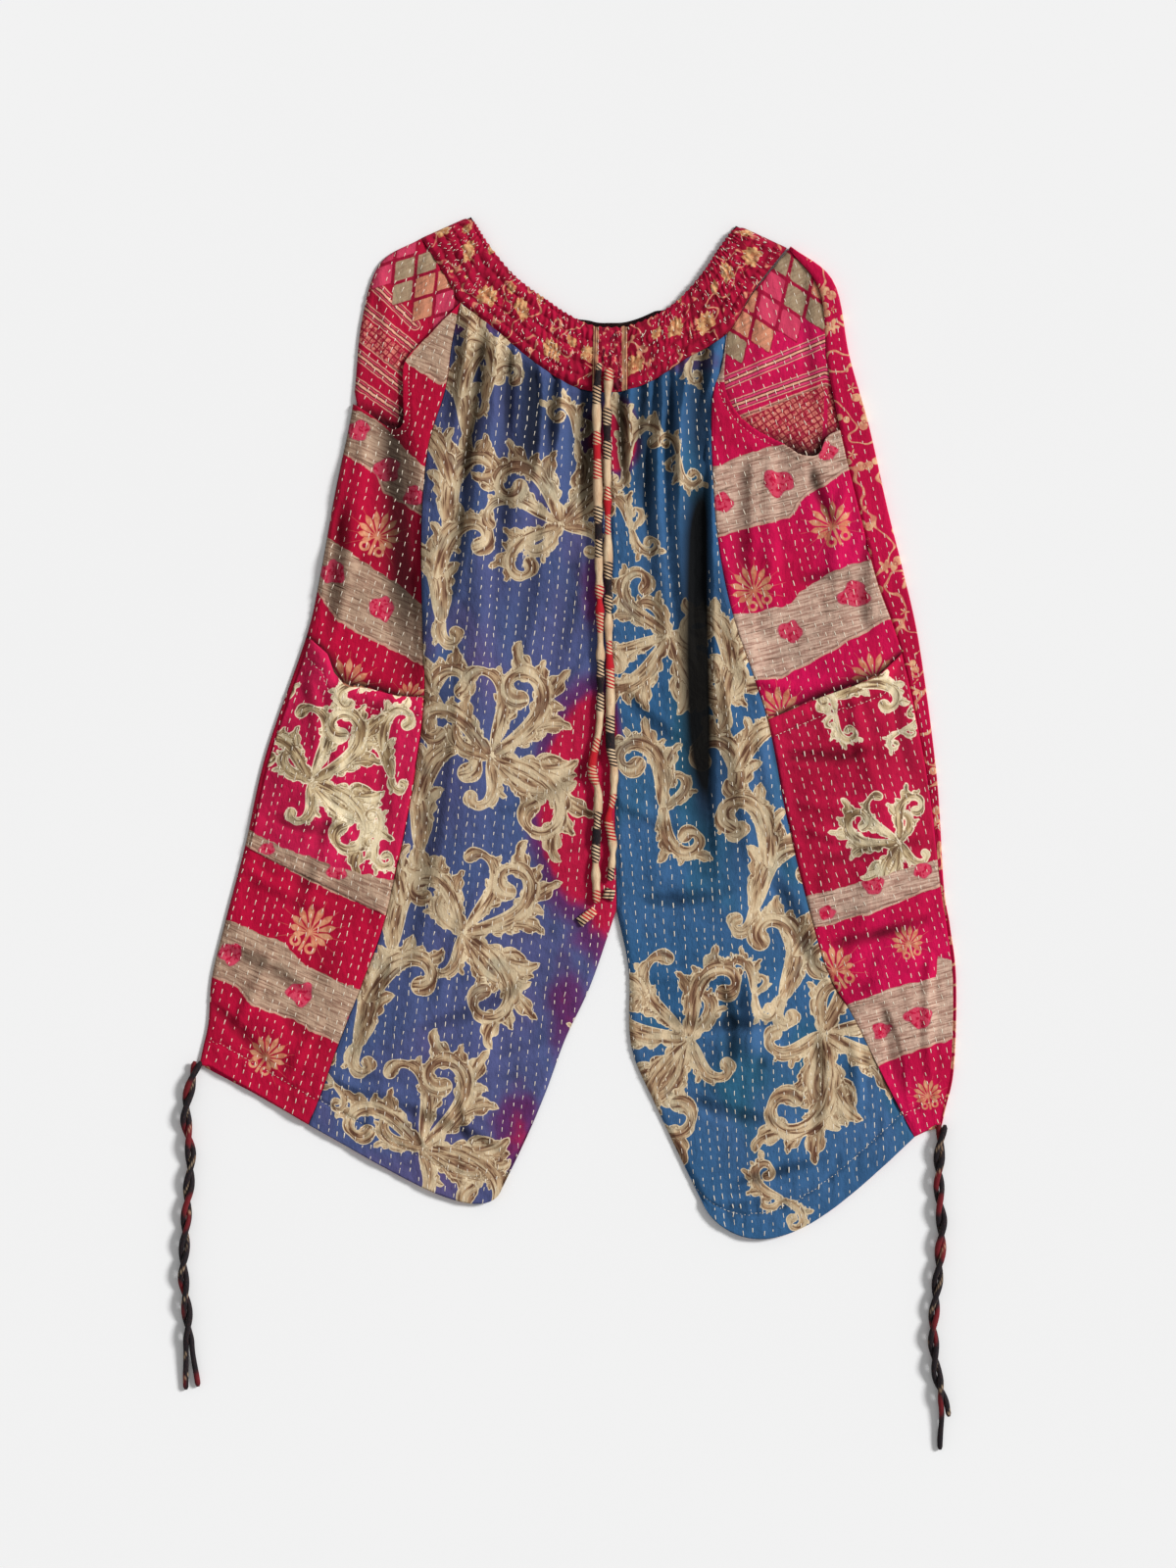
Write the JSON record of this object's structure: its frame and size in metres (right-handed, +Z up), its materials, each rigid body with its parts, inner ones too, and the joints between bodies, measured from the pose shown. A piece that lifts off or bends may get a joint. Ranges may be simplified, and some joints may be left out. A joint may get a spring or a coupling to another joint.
{
  "type": "cargo capri joggers",
  "caption": "Wide drop-crotch capri joggers with a smocked elastic waistband, scooped hip pockets, cargo pockets, a drawstring and cord-tied hems, laid flat.",
  "frame": {"origin": "bottom centre of the garment's bounding box, on the surface it lies on, measured without the tie cords", "axes": "+Y from the hems towards the waistband, +Z up from the surface through the front of the garment, +X towards the wearer's left leg"},
  "size_m": [0.6339, 1.006, 0.0159],
  "materials": {
    "front_left": "matte",
    "side_left": "matte",
    "yoke_left": "matte",
    "cargo_pocket_left": "matte",
    "back_left": "matte",
    "front_right": "matte",
    "side_right": "matte",
    "yoke_right": "matte",
    "cargo_pocket_right": "matte",
    "back_right": "matte",
    "waistband_front_left": "matte",
    "waistband_placket": "matte",
    "waistband_front_right": "matte",
    "waistband_back": "matte",
    "waist_tie_left": "matte",
    "waist_tie_tip_left": "matte",
    "ankle_tie_left_1": "matte",
    "ankle_tie_left_2": "matte",
    "waist_tie_right": "matte",
    "waist_tie_tip_right": "matte",
    "ankle_tie_right_1": "matte",
    "ankle_tie_right_2": "matte"
  },
  "bodies": {
    "root": {"front_left": "front_left", "side_left": "side_left", "yoke_left": "yoke_left", "cargo_pocket_left": "cargo_pocket_left", "back_left": "back_left", "front_right": "front_right", "side_right": "side_right", "yoke_right": "yoke_right", "cargo_pocket_right": "cargo_pocket_right", "back_right": "back_right", "waistband_front_left": "waistband_front_left", "waistband_placket": "waistband_placket", "waistband_front_right": "waistband_front_right", "waistband_back": "waistband_back", "waist_tie_left": "waist_tie_left", "waist_tie_tip_left": "waist_tie_tip_left", "ankle_tie_left_1": "ankle_tie_left_1", "ankle_tie_left_2": "ankle_tie_left_2", "waist_tie_right": "waist_tie_right", "waist_tie_tip_right": "waist_tie_tip_right", "ankle_tie_right_1": "ankle_tie_right_1", "ankle_tie_right_2": "ankle_tie_right_2"}
  },
  "joints": []
}
